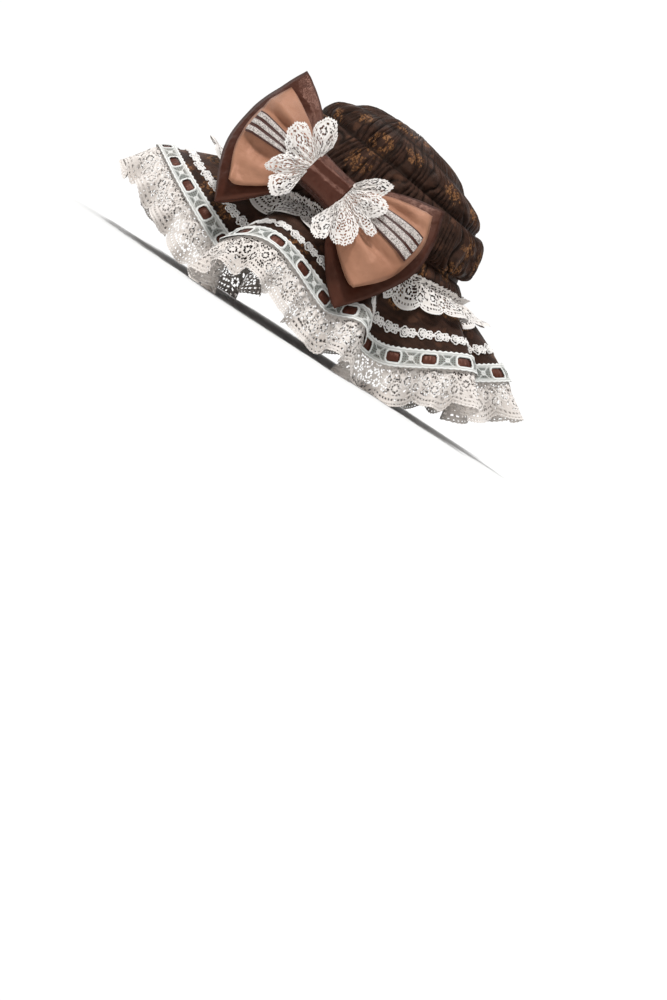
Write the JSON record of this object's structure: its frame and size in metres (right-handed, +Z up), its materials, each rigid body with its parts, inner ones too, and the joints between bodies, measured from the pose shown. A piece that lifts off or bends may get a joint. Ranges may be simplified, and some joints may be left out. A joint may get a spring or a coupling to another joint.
{
  "type": "lolita hat",
  "caption": "Soft brown lolita hat with a gathered puffed crown, a fluted lace-edged brim, and a double satin bow with lace fans on the wearer's left.",
  "frame": {"origin": "middle of the hat's bounding box, at the floor that its lowest lace rests on", "axes": "+Z up the hat's axis, -Y toward its front, +X toward the wearer's left, where the bow is"},
  "size_m": [0.3106, 0.37, 0.1896],
  "materials": {
    "jacquard": "dark brown jacquard taffeta with copper floral sprays",
    "lace": "white scalloped lace, ladder lace and guipure",
    "dark_satin": "dark brown satin",
    "tan_satin": "tan satin",
    "glitter": "silver glitter stripes on a dark brown band"
  },
  "bodies": {
    "root": {"crown": "jacquard", "brim": "jacquard", "crown_lace": "lace", "rose_trim": "lace", "beading_lace": "lace", "beading_ribbon": "dark_satin", "edge_lace": "lace", "bow_large": "dark_satin", "bow_small": "tan_satin", "glitter_band_front": "glitter", "glitter_band_back": "glitter", "bow_lace_front": "lace", "bow_lace_back": "lace", "knot": "dark_satin"}
  },
  "joints": []
}
